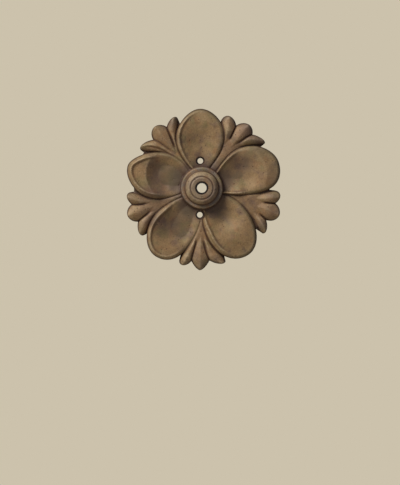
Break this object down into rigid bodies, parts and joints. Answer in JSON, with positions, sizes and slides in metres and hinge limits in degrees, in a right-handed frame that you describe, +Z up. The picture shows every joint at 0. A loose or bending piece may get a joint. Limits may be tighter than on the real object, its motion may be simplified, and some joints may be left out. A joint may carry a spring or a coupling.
{
  "type": "iron rosette",
  "caption": "Cast-iron flower rosette with cupped petals, lobed sepals and a stepped boss, with a bolt hole and screw holes for fixing it flat on wood or a wall.",
  "frame": {"origin": "centre of the bolt hole, in the plane of the flat back", "axes": "+Y points out of the flat back, into the wall that the rosette is fixed to; the face looks along -Y; +Z is up; +X is to the right of someone who looks at the face"},
  "size_m": [0.093, 0.0141, 0.0977],
  "materials": {
    "brown_iron": "aged brown cast iron, dull with a faint sheen, fine casting grain"
  },
  "bodies": {
    "root": {"rosette": "brown_iron"}
  },
  "joints": []
}
